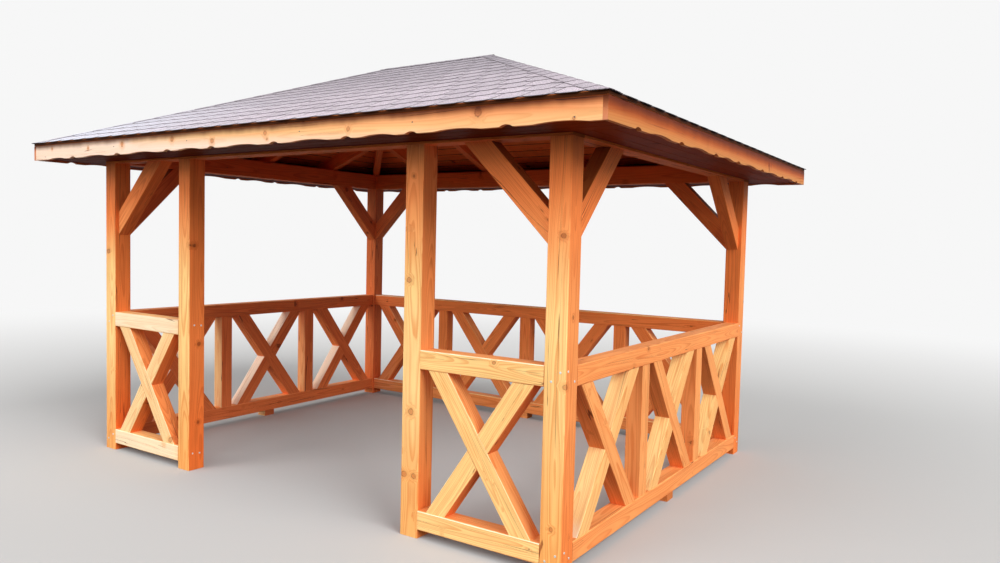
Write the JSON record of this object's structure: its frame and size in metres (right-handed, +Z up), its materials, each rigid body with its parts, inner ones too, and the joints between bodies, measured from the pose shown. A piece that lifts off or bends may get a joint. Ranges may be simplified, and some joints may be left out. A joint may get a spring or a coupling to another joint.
{
  "type": "garden gazebo",
  "caption": "Open wooden garden gazebo: square posts with knee braces, low balustrades of crossed timbers, scalloped fascia boards, boarded eaves and a hipped shingle roof",
  "frame": {"origin": "on the ground under the middle of the plan, level with the feet of the posts", "axes": "+X along the long front from left to right, +Y from the entry side to the back, +Z up"},
  "size_m": [4.56, 3.595, 2.9356],
  "materials": {
    "frame_timber": "satin",
    "balustrade_timber": "satin",
    "roof_timber": "satin",
    "boarding": "satin",
    "fascia_board": "satin",
    "shingle": "matte"
  },
  "bodies": {
    "root": {"bottom_rails_back": "balustrade_timber", "bottom_rails_front": "balustrade_timber", "bottom_rails_left": "balustrade_timber", "bottom_rails_right": "balustrade_timber", "cross_falling_back": "balustrade_timber", "cross_falling_front": "balustrade_timber", "cross_falling_left": "balustrade_timber", "cross_falling_right": "balustrade_timber", "cross_rising_back": "balustrade_timber", "cross_rising_front": "balustrade_timber", "cross_rising_left": "balustrade_timber", "cross_rising_right": "balustrade_timber", "end_rafters": "roof_timber", "fascia_back": "fascia_board", "fascia_front": "fascia_board", "fascia_left": "fascia_board", "fascia_right": "fascia_board", "foot_blocks": "balustrade_timber", "hip_rafters": "roof_timber", "knee_braces_back": "frame_timber", "knee_braces_front": "frame_timber", "knee_braces_left": "frame_timber", "knee_braces_right": "frame_timber", "plate_back": "frame_timber", "plate_front": "frame_timber", "plate_left": "frame_timber", "plate_right": "frame_timber", "post_back_left": "frame_timber", "post_back_right": "frame_timber", "post_entry_left": "frame_timber", "post_entry_right": "frame_timber", "post_front_left": "frame_timber", "post_front_right": "frame_timber", "ridge_beam": "roof_timber", "roof_boards_back": "boarding", "roof_boards_front": "boarding", "roof_boards_left": "boarding", "roof_boards_right": "boarding", "shingles_back": "shingle", "shingles_front": "shingle", "shingles_left": "shingle", "shingles_right": "shingle", "slope_rafters": "roof_timber", "soffits_front_back": "boarding", "soffits_sides": "boarding", "stiles_back": "balustrade_timber", "stiles_left": "balustrade_timber", "stiles_right": "balustrade_timber", "top_rails_back": "balustrade_timber", "top_rails_front": "balustrade_timber", "top_rails_left": "balustrade_timber", "top_rails_right": "balustrade_timber"}
  },
  "joints": []
}
